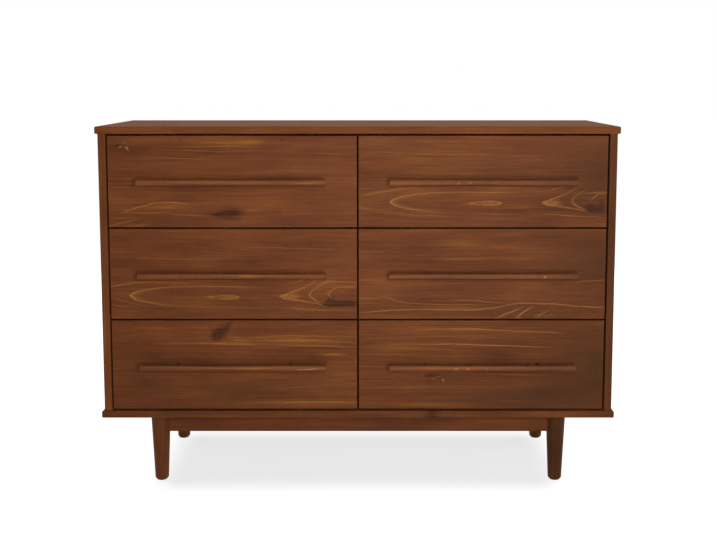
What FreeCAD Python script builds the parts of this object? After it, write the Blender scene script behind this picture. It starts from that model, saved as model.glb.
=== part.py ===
import FreeCAD, Part
import math
import os

from FreeCAD import Vector

# A six-drawer double dresser in solid wood. Lengths are in millimetres.
# X runs to the viewer's right, the drawers open towards -Y and Z is up.
# The origin is on the floor, under the middle of the whole piece, handles included.

# Case of slabs and uprights
case_width = 1308.0
case_depth = 395.0
side_thickness = 19.0
top_thickness = 19.0
bottom_thickness = 19.0
divider_thickness = 19.0
slab_side_overhang = 6.0
slab_front_overhang = 5.0
slab_round = 1.6
side_round = 1.2

# Stopped tongues that house the uprights in the slabs
tongue_thickness = 7.0
tongue_height = 8.0
tongue_stop = 24.0
tongue_end_gap = 0.3

# Thin back panel, let into a rebate all round
back_thickness = 6.0
back_rebate = 9.0
back_edge_gap = 0.3

# Drawer fronts
row_names = ["top", "middle", "bottom"]
front_height = 232.0
front_thickness = 19.0
front_chamfer = 1.2
reveal = 4.5
divider_setback = 4.0

# Dovetailed drawer boxes
box_length = 345.0
box_height = 180.0
box_lift = 24.0
box_side_gap = 4.5
board_thickness = 12.0
tail_count = 4
pin_width = 8.0
tail_slope_share = 0.16
bottom_board_thickness = 5.0
bottom_board_lift = 11.0
bottom_board_tongue = 6.0
bottom_board_gap = 0.2

# Wooden runners, and the stopped grooves that hang on them
runner_length = 322.0
runner_height = 12.0
runner_gap = 0.3
groove_depth = 6.5
groove_stop = 30.0
groove_tail = 2

# Bar handles, each on two posts
bar_length = 475.0
bar_diameter = 17.0
bar_chamfer = 2.4
bar_standoff = 30.0
post_spacing = 288.0
post_diameter = 9.0
post_shoulder = 0.8

# Turned legs and the aprons between them
base_height = 178.0
leg_top_diameter = 50.5
leg_foot_diameter = 34.5
leg_foot_chamfer = 3.0
leg_inset_x = 136.5
leg_inset_y = 40.0
apron_height = 47.0
apron_thickness = 19.0
leg_seat_gap = 0.2
pad_thickness = 3.0
pad_diameter = 27.0

# Corner blocks, with a hexagon bolt through each into its leg
block_leg = 68.0
block_height = 40.0
bolt_diameter = 8.0
bolt_depth_in_leg = 16.0
bolt_hole_gap = 0.2
bolt_head_across = 13.0
bolt_head_height = 5.5

cut_over = 10.0

# Levels
drawer_rows = len(row_names)
opening_height = drawer_rows * front_height + (drawer_rows + 1) * reveal
opening_z = base_height + bottom_thickness
top_under_z = opening_z + opening_height
top_z = top_under_z + top_thickness
apron_z = base_height - apron_height
leg_length = base_height - pad_thickness

# Planes from front to back
handle_reach = bar_standoff + bar_diameter / 2
case_front = (handle_reach - case_depth) / 2
case_back = case_front + case_depth
slab_front = case_front - slab_front_overhang
box_front = case_front + front_thickness
box_back = box_front + box_length
divider_front = box_front + divider_setback
back_face = case_back - back_thickness
front_leg_y = case_front + leg_inset_y
rear_leg_y = case_back - leg_inset_y

# Half widths and widths
case_half = case_width / 2
inner_half = case_half - side_thickness
slab_half = case_half + slab_side_overhang
divider_half = divider_thickness / 2
leg_x = case_half - leg_inset_x
front_width = inner_half - reveal - reveal / 2
box_width = inner_half - divider_half - 2 * box_side_gap

# Drawer joinery
tail_pitch = box_height / tail_count
groove_height = runner_height + 2 * runner_gap
runner_thickness = box_side_gap + groove_depth - runner_gap
bar_radius = bar_diameter / 2
post_seat_half = post_diameter / 2 + post_shoulder
bar_seat_reach = math.sqrt(bar_radius ** 2 - post_seat_half ** 2)

column_names = ["left", "right"]


def block(x0, x1, y0, y1, z0, z1):
    return Part.makeBox(x1 - x0, y1 - y0, z1 - z0, Vector(x0, y0, z0))


def rod(radius, start, end):
    axis = end - start
    return Part.makeCylinder(radius, axis.Length, start, axis)


def prism(points, sweep):
    return Part.Face(Part.makePolygon(points + points[:1])).extrude(sweep)


def ease(shape, radius, wanted):
    return shape.makeFillet(radius, [edge for edge in shape.Edges if wanted(edge.BoundBox)])


def save(name, *solids):
    shape = solids[0] if len(solids) == 1 else Part.makeCompound(solids)
    shape.exportStep("parts/" + name + ".step")


# Case

def upright_tongues(x_middle, front, height_side):
    """Tongue of one upright, in both slabs; height_side is how far it reaches into each."""
    half = tongue_thickness / 2
    y0 = front + tongue_stop
    y1 = back_face - tongue_stop
    lower = block(x_middle - half, x_middle + half, y0, y1, opening_z - height_side, opening_z)
    upper = block(x_middle - half, x_middle + half, y0, y1, top_under_z, top_under_z + height_side)
    return lower, upper


def uprights():
    """Middle plane and front edge of each upright, from left to right."""
    side_middle = case_half - side_thickness / 2
    return [(-side_middle, case_front), (0, divider_front), (side_middle, case_front)]


def slab(z0, z1):
    """A top or bottom slab, eased at the front and sides, rebated and housed for the uprights."""
    middle = (slab_front + case_back) / 2
    shape = block(-slab_half, slab_half, slab_front, case_back, z0, z1)
    shape = ease(shape, slab_round, lambda box: box.YMin < middle and box.ZMin == box.ZMax)
    rebate_half = inner_half + back_rebate
    shape = shape.cut(block(-rebate_half, rebate_half, back_face, case_back + cut_over,
                            opening_z - back_rebate, top_under_z + back_rebate))
    for x_middle, front in uprights():
        for housing in upright_tongues(x_middle, front, tongue_height + tongue_end_gap):
            shape = shape.cut(housing)
    return shape


def side_panel(direction):
    """Side panel; direction is -1 for the left one and 1 for the right one."""
    x0, x1 = sorted((direction * inner_half, direction * case_half))
    middle = (case_front + case_back) / 2
    shape = block(x0, x1, case_front, case_back, opening_z, top_under_z)
    shape = ease(shape, side_round, lambda box: box.YMax < middle and box.XMin == box.XMax)
    x0, x1 = sorted((direction * (inner_half - cut_over), direction * (inner_half + back_rebate)))
    shape = shape.cut(block(x0, x1, back_face, case_back + cut_over,
                            opening_z - cut_over, top_under_z + cut_over))
    x_middle = direction * (case_half - side_thickness / 2)
    return shape.fuse(upright_tongues(x_middle, case_front, tongue_height)).removeSplitter()


def centre_divider():
    shape = block(-divider_half, divider_half, divider_front, back_face, opening_z, top_under_z)
    return shape.fuse(upright_tongues(0, divider_front, tongue_height)).removeSplitter()


def back_panel():
    rim = back_rebate - back_edge_gap
    return block(-inner_half - rim, inner_half + rim, back_face, case_back,
                 opening_z - rim, top_under_z + rim)


# Base

def leg_positions():
    return [(leg_x * sx, y, sx, sy) for sx in (-1, 1)
            for y, sy in ((front_leg_y, -1), (rear_leg_y, 1))]


def leg_cone(x, y, extra):
    """Straight taper of a leg, thicker by extra where it is used to cut a seat."""
    return Part.makeCone(leg_foot_diameter / 2 + extra, leg_top_diameter / 2 + extra,
                         leg_length, Vector(x, y, pad_thickness))


def inward(sx, sy):
    """Unit vector from a leg to the middle of the base, across the corner block."""
    return Vector(-sx, -sy, 0).normalize()


def bolt_places(x, y, sx, sy):
    """Inner end of a leg's bolt, the face that it leaves the leg by, and the face its head bears on."""
    axis = Vector(x, y, base_height - block_height / 2)
    along = inward(sx, sy)
    leg_face = leg_top_diameter / 2 + leg_seat_gap
    block_face = (apron_thickness + block_leg) / math.sqrt(2)
    return axis + along * (leg_face - bolt_depth_in_leg), axis + along * leg_face, axis + along * block_face


def bolt_hole(x, y, sx, sy):
    inner, leg_face, block_face = bolt_places(x, y, sx, sy)
    along = inward(sx, sy)
    return rod(bolt_diameter / 2 + bolt_hole_gap, inner - along * bolt_hole_gap, block_face + along * cut_over)


def leg(x, y, sx, sy):
    shape = leg_cone(x, y, 0)
    foot = [edge for edge in shape.Edges if edge.BoundBox.ZMax < base_height / 2]
    return shape.makeChamfer(leg_foot_chamfer, foot).cut(bolt_hole(x, y, sx, sy))


def apron(x0, x1, y0, y1):
    """Apron between two legs, its ends coped round them."""
    shape = block(x0, x1, y0, y1, apron_z, base_height)
    for x, y, sx, sy in leg_positions():
        shape = shape.cut(leg_cone(x, y, leg_seat_gap))
    return shape


def long_apron(y):
    return apron(-leg_x, leg_x, y - apron_thickness / 2, y + apron_thickness / 2)


def short_apron(x):
    return apron(x - apron_thickness / 2, x + apron_thickness / 2, front_leg_y, rear_leg_y)


def corner_block(x, y, sx, sy):
    """Glue block in the corner of two aprons, its narrow face flat against the leg."""
    corner_x = x - sx * apron_thickness / 2
    corner_y = y - sy * apron_thickness / 2
    z = base_height - block_height
    narrow = (leg_top_diameter / 2 + leg_seat_gap) * math.sqrt(2) - apron_thickness
    points = [Vector(corner_x - sx * narrow, corner_y, z), Vector(corner_x - sx * block_leg, corner_y, z),
              Vector(corner_x, corner_y - sy * block_leg, z), Vector(corner_x, corner_y - sy * narrow, z)]
    return prism(points, Vector(0, 0, block_height)).cut(bolt_hole(x, y, sx, sy))


def leg_bolt(x, y, sx, sy):
    """Hexagon bolt, its head against the block's long face."""
    inner, leg_face, block_face = bolt_places(x, y, sx, sy)
    along = inward(sx, sy)
    across = Vector(-along.y, along.x, 0)
    corner_reach = bolt_head_across / math.sqrt(3)
    points = []
    for corner in range(6):
        turn = math.pi / 3 * corner
        points.append(block_face + across * (corner_reach * math.cos(turn))
                      + Vector(0, 0, corner_reach * math.sin(turn)))
    return prism(points, along * bolt_head_height).fuse(rod(bolt_diameter / 2, inner, block_face))


def foot_pad(x, y):
    return Part.makeCylinder(pad_diameter / 2, pad_thickness, Vector(x, y, 0))


# Places of the drawers

def front_middle(column):
    direction = 2 * column - 1
    return direction * (reveal / 2 + front_width / 2)


def front_bottom(row):
    return opening_z + reveal + (drawer_rows - 1 - row) * (front_height + reveal)


def box_sides(column):
    """Outer faces of a drawer box, left and right."""
    direction = 2 * column - 1
    near = direction * (divider_half + box_side_gap)
    far = direction * (divider_half + box_side_gap + box_width)
    return sorted((near, far))


def box_levels(row):
    z0 = front_bottom(row) + box_lift
    return z0, z0 + box_height


def groove_middle(row):
    """The groove runs through the middle of one tail, where no pin is cut."""
    return box_levels(row)[0] + tail_pitch * (groove_tail + 1 / 2)


# Drawer boxes

def pins(x0, x1, outer_y, inner_y, row):
    """The pins of one corner: narrow at the outer face of the end board, wide at its inner face."""
    z0, z1 = box_levels(row)
    narrow = pin_width / 2
    wide = narrow + tail_slope_share * board_thickness
    shapes = []
    for place in range(tail_count + 1):
        z = z0 + place * tail_pitch
        points = [Vector(x0, outer_y, max(z0, z - narrow)), Vector(x0, outer_y, min(z1, z + narrow)),
                  Vector(x0, inner_y, min(z1, z + wide)), Vector(x0, inner_y, max(z0, z - wide))]
        shapes.append(prism(points, Vector(x1 - x0, 0, 0)))
    return shapes


def bottom_board_space(column, row, gap):
    """The bottom board, or with a gap the grooves that take it."""
    x0, x1 = box_sides(column)
    rim = board_thickness - bottom_board_tongue - gap
    z0 = box_levels(row)[0] + bottom_board_lift
    return block(x0 + rim, x1 - rim, box_front + rim, box_back - rim,
                 z0 - gap, z0 + bottom_board_thickness + gap)


def side_board(column, row, at_left):
    """Drawer side with tails at both ends and a stopped groove for its runner."""
    x_left, x_right = box_sides(column)
    outer = x_left if at_left else x_right
    inner = x_left + board_thickness if at_left else x_right - board_thickness
    z0, z1 = box_levels(row)
    x0, x1 = sorted((outer, inner))
    shape = block(x0, x1, box_front, box_back, z0, z1)
    shape = shape.cut(pins(x0, x1, box_front, box_front + board_thickness, row))
    shape = shape.cut(pins(x0, x1, box_back, box_back - board_thickness, row))
    away = -1 if at_left else 1
    g0, g1 = sorted((outer + away * cut_over, outer - away * groove_depth))
    z = groove_middle(row)
    shape = shape.cut(block(g0, g1, box_front + groove_stop, box_back + cut_over,
                            z - groove_height / 2, z + groove_height / 2))
    return shape.cut(bottom_board_space(column, row, bottom_board_gap)).removeSplitter()


def end_board(column, row, outer_y, inner_y):
    """Front or back board of a drawer box, with pins at both ends."""
    x0, x1 = box_sides(column)
    z0, z1 = box_levels(row)
    y0, y1 = sorted((outer_y, inner_y))
    shape = block(x0 + board_thickness, x1 - board_thickness, y0, y1, z0, z1)
    shape = shape.fuse(pins(x0, x0 + board_thickness, outer_y, inner_y, row)
                       + pins(x1 - board_thickness, x1, outer_y, inner_y, row))
    return shape.cut(bottom_board_space(column, row, bottom_board_gap)).removeSplitter()


def runner(column, row, at_left):
    """Hardwood strip on the case, whose front end stops the drawer when it closes."""
    x_left, x_right = box_sides(column)
    wall = x_left - box_side_gap if at_left else x_right + box_side_gap
    into_bay = 1 if at_left else -1
    x0, x1 = sorted((wall, wall + into_bay * runner_thickness))
    y0 = box_front + groove_stop + runner_gap
    z = groove_middle(row)
    return block(x0, x1, y0, y0 + runner_length, z - runner_height / 2, z + runner_height / 2)


# Drawer fronts and handles

def post_places(column, row):
    x = front_middle(column)
    z = front_bottom(row) + front_height / 2
    return [Vector(x + side * post_spacing / 2, case_front, z) for side in (-1, 1)]


def out(distance):
    """A step out of the drawer's face."""
    return Vector(0, -distance, 0)


def drawer_front(column, row):
    x = front_middle(column)
    z = front_bottom(row)
    shape = block(x - front_width / 2, x + front_width / 2, case_front, box_front, z, z + front_height)
    face_edges = [edge for edge in shape.Edges if edge.BoundBox.YMax < box_front]
    return shape.makeChamfer(front_chamfer, face_edges)


def handle_bar(column, row):
    """Round bar with chamfered ends and a flat milled on its back for each post."""
    places = post_places(column, row)
    middle = (places[0] + places[1]) * (1 / 2) + out(bar_standoff)
    reach = Vector(bar_length / 2, 0, 0)
    shape = rod(bar_radius, middle - reach, middle + reach)
    ends = [edge for edge in shape.Edges if edge.BoundBox.XLength < bar_radius]
    shape = shape.makeChamfer(bar_chamfer, ends)
    seat_y = middle.y + bar_seat_reach
    for place in places:
        shape = shape.cut(block(place.x - post_seat_half, place.x + post_seat_half, seat_y, case_front,
                                place.z - bar_diameter, place.z + bar_diameter))
    return shape


def handle_post(place):
    """Steel post from the drawer's face to the flat on the bar."""
    return rod(post_diameter / 2, place, place + out(bar_standoff - bar_seat_reach))


# Export

def save_case():
    save("top_panel", slab(top_under_z, top_z))
    save("bottom_panel", slab(base_height, opening_z))
    save("left_side_panel", side_panel(-1))
    save("right_side_panel", side_panel(1))
    save("centre_divider", centre_divider())
    save("back_panel", back_panel())
    rows = range(drawer_rows)
    save("left_runners", *[runner(0, row, True) for row in rows])
    save("divider_runners", *[runner(column, row, column > 0) for column in (0, 1) for row in rows])
    save("right_runners", *[runner(1, row, False) for row in rows])


def save_base():
    legs = leg_positions()
    save("front_apron", long_apron(front_leg_y))
    save("rear_apron", long_apron(rear_leg_y))
    save("left_apron", short_apron(-leg_x))
    save("right_apron", short_apron(leg_x))
    save("front_legs", *[leg(*place) for place in legs if place[1] < 0])
    save("rear_legs", *[leg(*place) for place in legs if place[1] > 0])
    save("corner_blocks", *[corner_block(*place) for place in legs])
    save("leg_bolts", *[leg_bolt(*place) for place in legs])
    save("foot_pads", *[foot_pad(x, y) for x, y, sx, sy in legs])


def save_drawer(column, row):
    name = row_names[row] + "_" + column_names[column] + "_"
    save(name + "front", drawer_front(column, row))
    save(name + "side_boards", side_board(column, row, True), side_board(column, row, False))
    save(name + "inner_front", end_board(column, row, box_front, box_front + board_thickness))
    save(name + "back_board", end_board(column, row, box_back, box_back - board_thickness))
    save(name + "bottom_board", bottom_board_space(column, row, 0))
    save(name + "handle_bar", handle_bar(column, row))
    save(name + "handle_posts", *[handle_post(place) for place in post_places(column, row)])


os.makedirs("parts", exist_ok=True)
save_case()
save_base()
for drawer_row in range(drawer_rows):
    for drawer_column in (0, 1):
        save_drawer(drawer_column, drawer_row)
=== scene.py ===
import math
from functools import partial

import bmesh
import bpy
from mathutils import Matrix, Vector


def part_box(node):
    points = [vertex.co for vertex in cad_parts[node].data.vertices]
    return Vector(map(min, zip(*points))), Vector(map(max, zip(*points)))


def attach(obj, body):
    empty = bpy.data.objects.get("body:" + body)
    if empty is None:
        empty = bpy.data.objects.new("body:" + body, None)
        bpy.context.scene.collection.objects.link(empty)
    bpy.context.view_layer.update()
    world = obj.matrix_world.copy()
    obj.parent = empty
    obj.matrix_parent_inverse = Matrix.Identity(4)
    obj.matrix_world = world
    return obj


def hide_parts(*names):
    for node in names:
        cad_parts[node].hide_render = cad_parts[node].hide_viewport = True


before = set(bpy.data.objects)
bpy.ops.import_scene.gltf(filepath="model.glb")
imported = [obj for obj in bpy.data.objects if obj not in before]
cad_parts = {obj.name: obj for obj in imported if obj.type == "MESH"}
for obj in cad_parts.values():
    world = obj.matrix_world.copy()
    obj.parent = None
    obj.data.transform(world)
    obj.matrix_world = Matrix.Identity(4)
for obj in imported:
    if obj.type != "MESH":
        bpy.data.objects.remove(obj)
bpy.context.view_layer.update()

mm = 0.001


# Shader helpers

def hexColour(code):
    # sRGB hex to the linear colour that a shader socket takes
    channels = [int(code[i:i + 2], 16) / 255 for i in (1, 3, 5)]
    linear = [c / 12.92 if c <= 0.04045 else ((c + 0.055) / 1.055) ** 2.4 for c in channels]
    return (*linear, 1.0)


def addNode(tree, kind, sockets=None, stops=None, **settings):
    # one node with its settings, its ramp stops, and the values or links of its sockets
    node = tree.nodes.new("ShaderNode" + kind)
    for name, value in settings.items():
        setattr(node, name, value)
    for name, value in (sockets or {}).items():
        socket = node.inputs[name] if isinstance(name, int) else next(
            s for s in node.inputs if s.enabled and s.name == name)
        if isinstance(value, bpy.types.Node):
            value = next(s for s in value.outputs if s.enabled)
        if isinstance(value, bpy.types.NodeSocket):
            tree.links.new(value, socket)
        else:
            socket.default_value = value
    if stops:
        ramp = node.color_ramp.elements
        while len(ramp) < len(stops):
            ramp.new(0.5)
        for element, (place, shade) in zip(ramp, stops):
            element.position = place
            element.color = hexColour(shade) if isinstance(shade, str) else (shade, shade, shade, 1.0)
    return node


def newMaterial(name):
    # a material without nodes, and what adds nodes to it
    material = bpy.data.materials.new(name)
    material.use_nodes = True
    material.node_tree.nodes.clear()
    return material, partial(addNode, material.node_tree)


# Wood

# how a board lies: the turn from its own axes (along, across and out of it) to the frame's, degrees
boardTurns = {
    "front": (90, 0, 0),  # grain along X, face towards the viewer
    "slab": (0, 0, 0),  # grain along X, face up
    "upright": (0, -90, 0),  # grain up, face sideways
    "stile": (90, 0, 90),  # grain front to back, face sideways
}

# pine that took a walnut stain: the soft early wood soaks dark, the hard late wood lines stay golden
stainedPine = {
    "deep": "#5b311a", "brown": "#6e3c21", "russet": "#774224", "amber": "#854d28",
    "lateWood": "#b37c42", "golden": "#965c29", "cool": "#53331d", "knotAndShade": "#2a1a12", "fleck": "#b58550",
    "mottle": (210, 44), "streak": (200, 3.6), "fibre": (15, 2.2),  # mm along, mm across
    "ring": 5.0, "line": 0.05, "roughness": (0.5, 0.62), "gloss": 0.06, "bump": 0.12,
}
# planed pine under clear sealer: honey early wood, tan late wood lines
naturalPine = {
    "deep": "#c39a63", "brown": "#cfa970", "russet": "#d8b57f", "amber": "#dfc08f",
    "lateWood": "#a9743c", "golden": "#c08e50", "cool": "#b98d58", "knotAndShade": "#5d3a20", "fleck": "#8d6236",
    "mottle": (180, 30), "streak": (240, 5), "fibre": (40, 1.6),
    "ring": 4.0, "line": 0.22, "roughness": (0.5, 0.62), "gloss": 0.2, "bump": 0.15,
}
# steamed beech, planed and waxed: even pink-tan wood with short fine rays
waxedBeech = {
    "deep": "#a9764d", "brown": "#b58258", "russet": "#be8c61", "amber": "#c7986d",
    "lateWood": "#9a6a44", "golden": "#c99c70", "cool": "#a06d46", "knotAndShade": "#6a452c", "fleck": "#8f5f3c",
    "mottle": (120, 40), "streak": (160, 4), "fibre": (6, 0.9),
    "ring": 2.5, "line": 0.12, "roughness": (0.45, 0.55), "gloss": 0.25, "bump": 0.08,
}
# thin birch-faced plywood, sanded: pale and quiet
sandedPlywood = {
    "deep": "#b8946a", "brown": "#c4a177", "russet": "#caa97f", "amber": "#d2b48c",
    "lateWood": "#b08a5c", "golden": "#cdae84", "cool": "#ab875e", "knotAndShade": "#6f4a2c", "fleck": "#a67c50",
    "mottle": (220, 60), "streak": (300, 9), "fibre": (30, 1.5),
    "ring": 14.0, "line": 0.2, "roughness": (0.58, 0.68), "gloss": 0.15, "bump": 0.08,
}


grainShape = {
    # mm along and across the grain: what bends the rings, and fades and frays the lines
    "sway": (420, 110), "fade": (140, 30), "shiver": (34, 7),
    # how coarse the noise is that pushes knots and veins about, and how far it does, mm
    "ragged": (9, 5), "raggedReach": (12, 6, 0), "wavy": (60, 12), "wavyReach": (0, 5, 0),
    "otherLog": (900, 120, 70), "otherTone": 0.07,  # how much glued boards differ, mm and share
    "fibreTone": 0.12, "relief": 0.3, "lineRelief": 0.7,  # shares, and the relief's depth in mm
}


def drawnNoise(add, space, size, seed, detail=2.0):
    # noise drawn out along the grain, size mm long and wide
    lengthMm, widthMm = size
    spread = add("Mapping", {
        "Vector": space, "Location": (seed * 3.7, seed * 1.9, seed * 5.3),
        "Scale": (1 / lengthMm, 1 / widthMm, 1 / widthMm)})
    return add("TexNoise", {"Vector": spread, "Scale": 1.0, "Detail": detail, "Roughness": 0.55})


def pushedAbout(add, space, noise, reach):
    # every place moves by up to half the reach either way, mm
    swing = add("VectorMath", {0: noise.outputs["Color"], 1: (0.5, 0.5, 0.5)}, operation="SUBTRACT")
    return add("VectorMath", {0: swing, 1: reach, 2: space}, operation="MULTIPLY_ADD")


def spotMask(add, space, spots, shape="QUADRATIC_SPHERE"):
    # spots: (along mm, across mm, half length, half width, turn in degrees, strength), added up;
    # each is strongest in the middle and ends at its rim, all through the board
    throughBoard = 400
    total = 0.0
    for along, across, halfLength, halfWidth, turn, strength in spots:
        local = add("Mapping", {
            "Vector": space, "Location": (along, across, 0), "Rotation": (0, 0, math.radians(turn)),
            "Scale": (halfLength, halfWidth, throughBoard)}, vector_type="TEXTURE")
        spot = add("TexGradient", {"Vector": local}, gradient_type=shape)
        total = add("Math", {0: spot, 1: strength, 2: total}, operation="MULTIPLY_ADD")
    return total


def veinSpots(veins):
    # a vein is (half width mm, strength, corners), drawn as a chain of long spots from corner to corner
    spots = []
    for halfWidth, strength, corners in veins:
        for start, end in zip(corners, corners[1:]):
            way = Vector(end) - Vector(start)
            middle = Vector(start) + way / 2
            turn = math.degrees(math.atan2(way.y, way.x))
            spots.append((*middle, way.length, halfWidth, turn, strength))
    return spots


def woodMaterial(name, wood, board):
    material, add = newMaterial(name)
    seed = board.get("seed", 1)
    place = add("TexCoord").outputs["Object"]
    turn = [math.radians(a) for a in boardTurns[board["lies"]]]
    space = add("Mapping", {
        "Vector": place, "Location": board["middle"], "Rotation": turn, "Scale": (mm, mm, mm)},
        vector_type="TEXTURE")  # millimetres along, across and out of the board

    # a wide panel is glued up from narrower boards, each from another place in the log
    grown = space
    boardTone = board.get("tone", 1.0)
    if "glued" in board:
        parts = add("SeparateXYZ", {"Vector": space})
        count = add("Math", {0: parts.outputs["Y"], 1: 1 / board["glued"], 2: seed},
                    operation="MULTIPLY_ADD")
        number = add("Math", {0: count}, operation="FLOOR")
        luck = add("TexWhiteNoise", {"W": number}, noise_dimensions="1D")
        elsewhere = add("VectorMath", {
            0: luck.outputs["Color"], 1: grainShape["otherLog"], 2: space}, operation="MULTIPLY_ADD")
        middles = add("Math", {0: number, 1: seed - 0.5}, operation="SUBTRACT")
        stepBack = add("CombineXYZ", {"Y": middles})
        grown = add("VectorMath", {
            0: stepBack, 1: (0, -board["glued"], 0), 2: elsewhere}, operation="MULTIPLY_ADD")
        differ = grainShape["otherTone"]
        boardTone = add("MapRange", {
            "Value": luck.outputs["Value"], "To Min": (1 - differ) * boardTone,
            "To Max": (1 + differ) * boardTone})

    # growth rings, counted towards the heart of the log: it leans a little to the board, so that
    # lines turn back in pointed arches
    heart = board.get("heart", (-40, -150))  # across the face and out of it, mm
    lean = board.get("lean", (0.6, 0.3))  # out of the face and across it, degrees
    shift = board.get("shift", (0, 0))  # moves rings, swells and lines along and across, mm
    sawn = add("VectorMath", {0: grown, 1: (*shift, 0)}, operation="SUBTRACT")
    log = add("Mapping", {
        "Vector": sawn, "Location": (board.get("apex", 0), *heart),
        "Rotation": (0, math.radians(lean[0]), math.radians(lean[1]))}, vector_type="TEXTURE")
    bent = drawnNoise(add, sawn, grainShape["sway"], seed + 11, 1.0)
    sway = board.get("sway", 8)  # how far the log bends to and fro, mm
    swayed = pushedAbout(add, log, bent, (0, sway, sway))
    acrossLog = add("VectorMath", {0: swayed, 1: (0, 1, 1)}, operation="MULTIPLY")
    distance = add("VectorMath", {0: acrossLog}, operation="LENGTH").outputs["Value"]
    ring = board.get("ring", wood["ring"])
    innermost = -heart[1] / ring + board.get("offset", 0.0)
    rings = add("Math", {0: distance, 1: -1 / ring, 2: innermost}, operation="MULTIPLY_ADD")
    swelling = spotMask(add, sawn, board.get("swells", ()))
    rings = add("Math", {0: rings, 1: swelling}, operation="ADD")
    shiver = drawnNoise(add, sawn, grainShape["shiver"], seed + 23)
    shivering = add("Math", {0: shiver, 1: 0.5}, operation="SUBTRACT")
    rings = add("Math", {0: shivering, 1: board.get("shiver", 0.06), 2: rings},
                operation="MULTIPLY_ADD")
    phase = add("Math", {0: rings}, operation="FRACT")
    line = board.get("line", wood["line"])
    lines = add("ValToRGB", {"Fac": phase}, stops=[
        (0.0, 1.0), (line * 0.5, 0.8), (line, 0.25), (min(line * 4, 0.9), 0.0), (1 - line * 0.4, 0.0),
        (1.0, 1.0)])
    whichRing = add("Math", {0: rings}, operation="FLOOR")
    ringLuck = add("TexWhiteNoise", {"W": whichRing}, noise_dimensions="1D")
    ringShow = add("MapRange", {
        "Value": ringLuck, "To Min": board.get("faintest", 0.25), "To Max": 1.0})
    fade = drawnNoise(add, grown, grainShape["fade"], seed + 31, 1.0)
    # where the lines stand out most
    clear = spotMask(add, sawn, board.get("clear", ()))
    plainly = add("Math", {0: fade, 1: clear}, operation="ADD")
    fading = add("MapRange", {
        "Value": plainly, "From Min": 0.6, "From Max": 1.0,
        "To Min": board.get("faded", 0.4), "To Max": 1.0})
    lineMask = lines
    for share in (ringShow, fading, board.get("lineStrength", 0.6)):
        lineMask = add("Math", {0: lineMask, 1: share}, operation="MULTIPLY", use_clamp=True)

    # ground colour: cloudy where the stain took unevenly, then long streaks and short fibres
    mottle = drawnNoise(add, grown, wood["mottle"], seed, 3.0)
    colour = add("ValToRGB", {"Fac": mottle}, stops=[
        (0.22, wood["deep"]), (0.42, wood["brown"]), (0.57, wood["russet"]), (0.76, wood["amber"])])
    streak = drawnNoise(add, grown, wood["streak"], seed + 5, 4.0)
    streaks = board.get("streaks", 0.45)
    darkStreak = add("MapRange", {
        "Value": streak, "From Min": 0.5, "From Max": 0.32, "To Max": streaks})
    paleStreak = add("MapRange", {
        "Value": streak, "From Min": 0.55, "From Max": 0.72, "To Max": streaks})
    glow = spotMask(add, space, board.get("glows", ()))
    streaky = add("MapRange", {
        "Value": streak, "From Min": 0.35, "From Max": 0.65, "To Min": 0.2, "To Max": 1.4})
    glowing = add("Math", {0: streaky, 1: glow}, operation="MULTIPLY", use_clamp=True)
    goldAndHighlightMask = add("Math", {0: glowing, 1: paleStreak}, operation="MAXIMUM")

    # cool shades, knots and flecks with ragged rims, and wavy single veins and cracks; on some boards
    # the shades, knot strips and glows are painted shade and painted highlight
    frayed = drawnNoise(add, space, grainShape["ragged"], seed + 41)
    rag = pushedAbout(add, space, frayed, grainShape["raggedReach"])
    shadeMask = spotMask(add, rag, board.get("shades", ()))
    knotAndShade = spotMask(add, rag, board.get("knotsAndShade", ()), "SPHERICAL")
    knotAndShadeMask = add("MapRange", {
        "Value": knotAndShade, "From Min": 0.05, "From Max": 0.8, "To Max": 0.85},
        interpolation_type="SMOOTHSTEP")
    grainy = add("MapRange", {
        "Value": streak, "From Min": 0.3, "From Max": 0.6, "To Min": 1.0, "To Max": 0.6})
    knotAndShadeMask = add("Math", {0: knotAndShadeMask, 1: grainy}, operation="MULTIPLY")
    fleck = spotMask(add, rag, board.get("flecks", ()), "SPHERICAL")
    fleckMask = add("MapRange", {
        "Value": fleck, "From Min": 0.05, "From Max": 0.6, "To Max": 0.9},
        interpolation_type="SMOOTHSTEP")
    wavy = drawnNoise(add, space, grainShape["wavy"], seed + 51, 1.0)
    wave = pushedAbout(add, space, wavy, grainShape["wavyReach"])
    veinMask, crackMask = [
        add("Math", {0: spotMask(add, wave, veinSpots(board.get(kind, ())), "SPHERICAL"), 1: 1.0},
            operation="MULTIPLY", use_clamp=True)
        for kind in ("veins", "cracks")]

    # each mask lays one of the wood's shades over the ground colour
    for mask, shade in ((darkStreak, "deep"), (goldAndHighlightMask, "golden"), (lineMask, "lateWood"),
                        (shadeMask, "cool"), (knotAndShadeMask, "knotAndShade"), (veinMask, "lateWood"),
                        (crackMask, "knotAndShade"), (fleckMask, "fleck")):
        colour = add("Mix", {
            "Factor": mask, "A": colour, "B": hexColour(wood[shade])}, data_type="RGBA")
    fibre = drawnNoise(add, grown, wood["fibre"], seed + 7)
    differ = grainShape["fibreTone"]
    fibreTone = add("MapRange", {
        "Value": fibre, "From Min": 0.25, "From Max": 0.75, "To Min": 1 - differ, "To Max": 1 + differ})
    tone = add("Math", {0: fibreTone, 1: boardTone}, operation="MULTIPLY")
    if "gapShade" in board:
        # painted shade: the edges of a front, seen in the gaps between the fronts, are darker than its
        # face
        shallow, deep, gapShadeTone = board["gapShade"]
        depth = add("SeparateXYZ", {"Vector": space})
        gapShadeFactor = add("MapRange", {
            "Value": depth.outputs["Z"], "From Min": -shallow, "From Max": -deep,
            "To Min": 1.0, "To Max": gapShadeTone})
        tone = add("Math", {0: tone, 1: gapShadeFactor}, operation="MULTIPLY")
    colour = add("HueSaturation", {"Value": tone, "Color": colour})

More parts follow.
